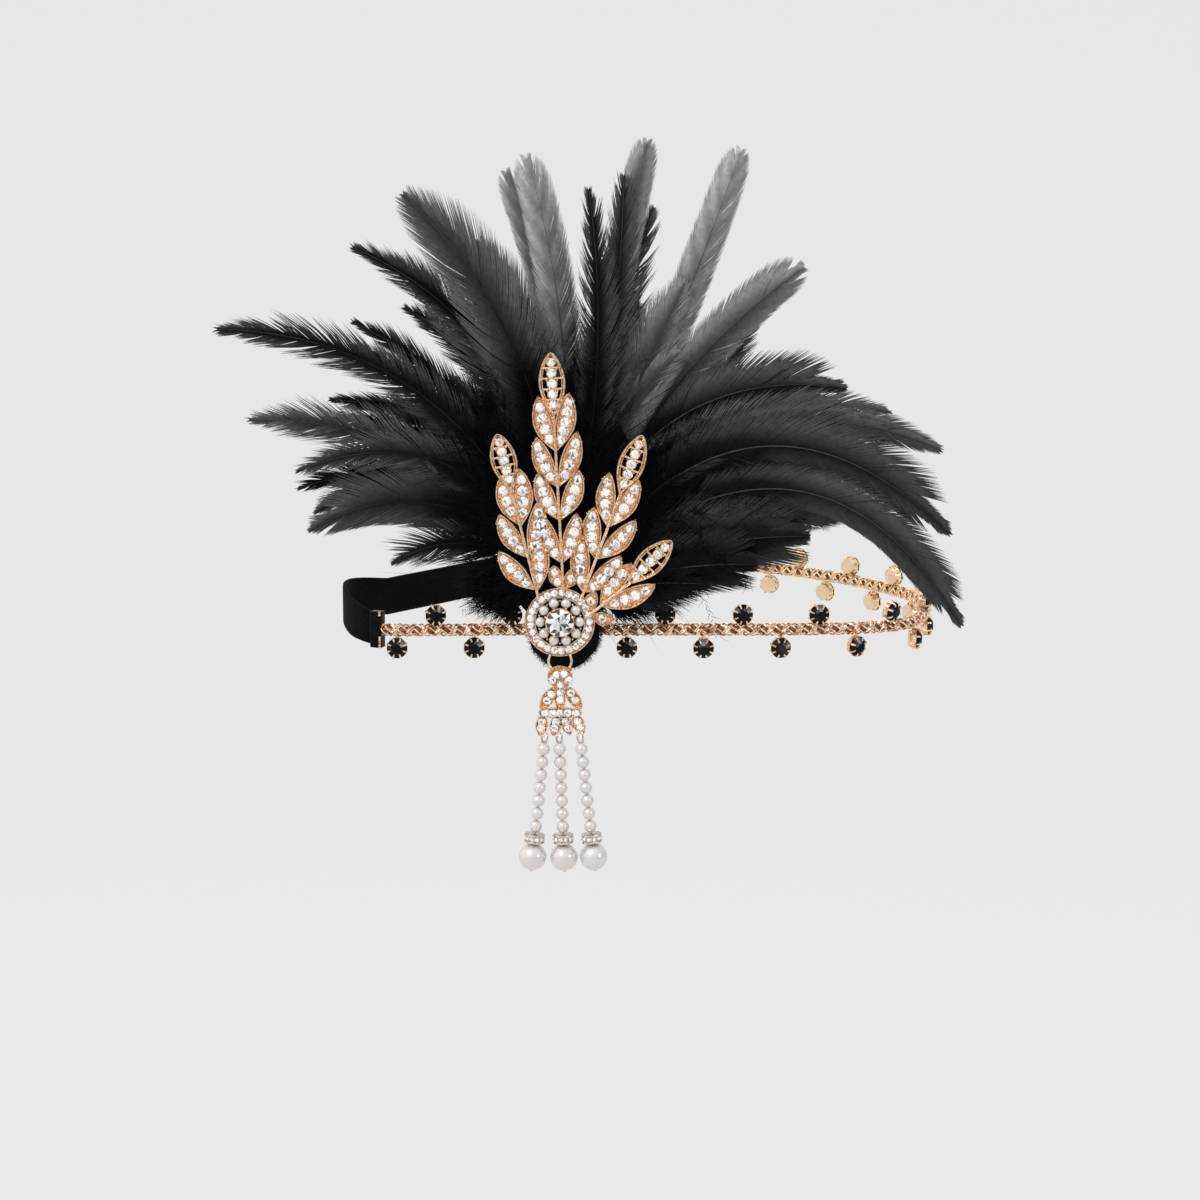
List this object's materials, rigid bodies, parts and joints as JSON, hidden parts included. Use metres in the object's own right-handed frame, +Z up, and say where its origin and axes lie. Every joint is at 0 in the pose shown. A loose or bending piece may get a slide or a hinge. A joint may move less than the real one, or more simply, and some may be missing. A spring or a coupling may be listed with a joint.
{
  "type": "flapper feather headband",
  "caption": "Flapper headband with an elastic back, a rope chain set with black stones, a black feather plume, a jewelled leaf brooch and a swinging pearl drop.",
  "frame": {"origin": "middle of the head opening, at the height of the rope chain's centre line", "axes": "+X to the viewer's right as worn facing the viewer, +Y from the brooch towards the back of the head, +Z up"},
  "size_m": [0.2135, 0.1331, 0.2072],
  "materials": {
    "elastic": "matte",
    "rose_gold": "polished",
    "black_stone": "gloss",
    "felt": "matte",
    "feather": "matte",
    "clear_stone": "gloss",
    "pearl": "satin",
    "silver": "polished"
  },
  "bodies": {
    "headband": {"elastic_band": "elastic", "band_clamp_front": "rose_gold", "band_clamp_back": "rose_gold", "rope_chain": "rose_gold", "black_stone_01": "black_stone", "black_stone_02": "black_stone", "black_stone_03": "black_stone", "black_stone_04": "black_stone", "black_stone_05": "black_stone", "black_stone_06": "black_stone", "black_stone_07": "black_stone", "black_stone_08": "black_stone", "black_stone_09": "black_stone", "black_stone_10": "black_stone", "black_stone_11": "black_stone", "black_stone_12": "black_stone", "black_stone_13": "black_stone", "black_stone_14": "black_stone", "black_stone_15": "black_stone", "black_stone_16": "black_stone", "black_stone_17": "black_stone", "black_stone_18": "black_stone", "black_stone_19": "black_stone", "black_stone_20": "black_stone", "black_stone_21": "black_stone", "black_stone_22": "black_stone", "black_stone_23": "black_stone", "black_stone_24": "black_stone", "black_stone_25": "black_stone", "black_stone_26": "black_stone", "black_stone_27": "black_stone", "backing_pad": "felt", "feather_plume": "feather", "brooch": "rose_gold", "centre_stone": "clear_stone"},
    "ring": {"jump_ring": "rose_gold"},
    "drop": {"drop_cap": "rose_gold", "pearl_strand_1": "pearl", "rondelle_1": "silver", "large_pearl_1": "pearl", "pearl_strand_2": "pearl", "rondelle_2": "silver", "large_pearl_2": "pearl", "pearl_strand_3": "pearl", "rondelle_3": "silver", "large_pearl_3": "pearl"}
  },
  "joints": [
    {"name": "ring_tilt", "type": "hinge", "parent": "headband", "child": "ring", "pos_m": [-0.022, -0.0668, -0.0044], "axis": [-1, 0, 0], "range_deg": [-6, 16]},
    {"name": "drop_swing", "type": "hinge", "parent": "ring", "child": "drop", "pos_m": [-0.022, -0.0668, -0.00765], "axis": [0, -1, 0], "range_deg": [-35, 35]}
  ]
}
